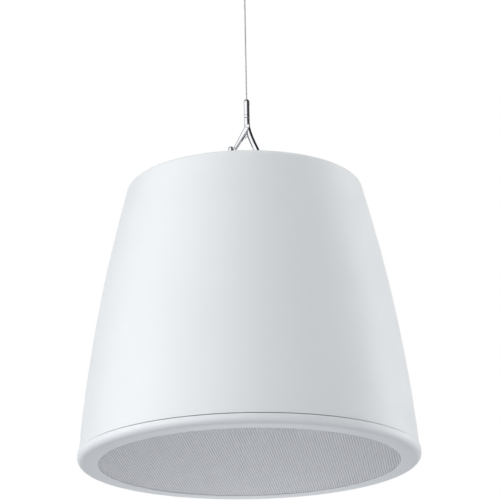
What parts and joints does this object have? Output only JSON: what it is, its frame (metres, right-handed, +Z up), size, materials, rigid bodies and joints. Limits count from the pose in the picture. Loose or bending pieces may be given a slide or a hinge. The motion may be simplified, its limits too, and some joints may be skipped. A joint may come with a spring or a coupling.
{
  "type": "pendant loudspeaker",
  "caption": "Round tapered pendant loudspeaker that hangs on a steel rope with a snap hook, with a perforated grille over a coaxial driver.",
  "frame": {"origin": "middle of the ceiling plate's upper flat face, which carries the whole speaker", "axes": "+Z up along the rope and out of the ceiling plate's face, +Y away from the side that the picture shows, +X to that side's right"},
  "size_m": [0.333, 0.333, 0.5221],
  "materials": {
    "white_plastic": "fine matte moulded surface",
    "white_painted_steel": "powder coated",
    "black_rubber": "matte",
    "acoustic_cloth": "thin woven cloth",
    "wadding": "loose fibre",
    "black_plastic": "moulded, satin",
    "green_plastic": "moulded",
    "cone_paper": "coated paper pulp",
    "enamelled_copper": "wound enamelled wire",
    "stainless_steel": "polished",
    "zinc_plated_steel": "zinc plated",
    "laminated_steel": "stacked sheets, varnished",
    "ferrite": "sintered",
    "circuit_board": "glass fibre board",
    "capacitor_film": "film",
    "cement": "ceramic cement"
  },
  "bodies": {
    "speaker": {"ceiling_plate": "zinc_plated_steel", "rope_coupler": "zinc_plated_steel", "suspension_rope": "stainless_steel", "rope_terminal": "stainless_steel", "snap_hook_body": "stainless_steel", "gate_pin": "stainless_steel", "gate_spring": "stainless_steel", "eye_bolt": "zinc_plated_steel", "eye_bolt_washer": "zinc_plated_steel", "eye_bolt_nut": "zinc_plated_steel", "suspension_bar": "zinc_plated_steel", "safety_eye": "zinc_plated_steel", "safety_eye_nut": "zinc_plated_steel", "housing_shell": "white_plastic", "front_bezel": "white_plastic", "seam_gasket": "black_rubber", "grille": "white_painted_steel", "grille_cloth": "acoustic_cloth", "damping_liner": "wadding", "baffle": "black_plastic", "baffle_screw_1": "zinc_plated_steel", "baffle_screw_2": "zinc_plated_steel", "baffle_screw_3": "zinc_plated_steel", "baffle_screw_4": "zinc_plated_steel", "port_tube": "black_plastic", "woofer_basket": "zinc_plated_steel", "woofer_gasket": "black_rubber", "woofer_surround": "black_rubber", "woofer_spider": "acoustic_cloth", "woofer_top_plate": "zinc_plated_steel", "woofer_magnet": "ferrite", "woofer_yoke": "zinc_plated_steel", "woofer_screw_1": "zinc_plated_steel", "woofer_screw_2": "zinc_plated_steel", "woofer_screw_3": "zinc_plated_steel", "woofer_screw_4": "zinc_plated_steel", "tweeter_post": "zinc_plated_steel", "tweeter_nut": "zinc_plated_steel", "tweeter_housing": "black_plastic", "tweeter_horn": "black_plastic", "tweeter_dome": "acoustic_cloth", "tweeter_magnet": "ferrite", "crossover_board": "circuit_board", "crossover_inductor": "enamelled_copper", "capacitor_1": "capacitor_film", "capacitor_2": "capacitor_film", "crossover_resistor": "cement", "transformer_core": "laminated_steel", "transformer_winding": "enamelled_copper", "transformer_bracket": "zinc_plated_steel", "terminal_cup": "black_plastic", "input_connector": "green_plastic", "tap_switch_body": "black_plastic", "woofer_lead": "black_rubber", "input_lead": "black_rubber"},
    "gate": {"snap_hook_gate": "stainless_steel"},
    "cone": {"woofer_cone": "cone_paper", "voice_coil": "enamelled_copper"},
    "knob": {"tap_knob": "black_plastic", "tap_switch_shaft": "zinc_plated_steel"}
  },
  "joints": [
    {"name": "gate_hinge", "type": "hinge", "parent": "speaker", "child": "gate", "pos_m": [0.0005, 0, -0.174], "axis": [0, -1, 0], "range_deg": [0, 25], "stiffness_Nm_per_rad": 0.05, "springref_deg": -8.02, "deforming": ["gate_spring"]},
    {"name": "cone_travel", "type": "slide", "parent": "speaker", "child": "cone", "axis": [0, 0, 1], "range_m": [-0.005, 0.005], "stiffness_N_per_m": 2150, "deforming": ["woofer_surround", "woofer_spider"]},
    {"name": "tap_selector", "type": "hinge", "parent": "speaker", "child": "knob", "pos_m": [-0.0036, 0.076, -0.25], "axis": [0, 0, 1], "range_deg": [0, 150]}
  ]
}
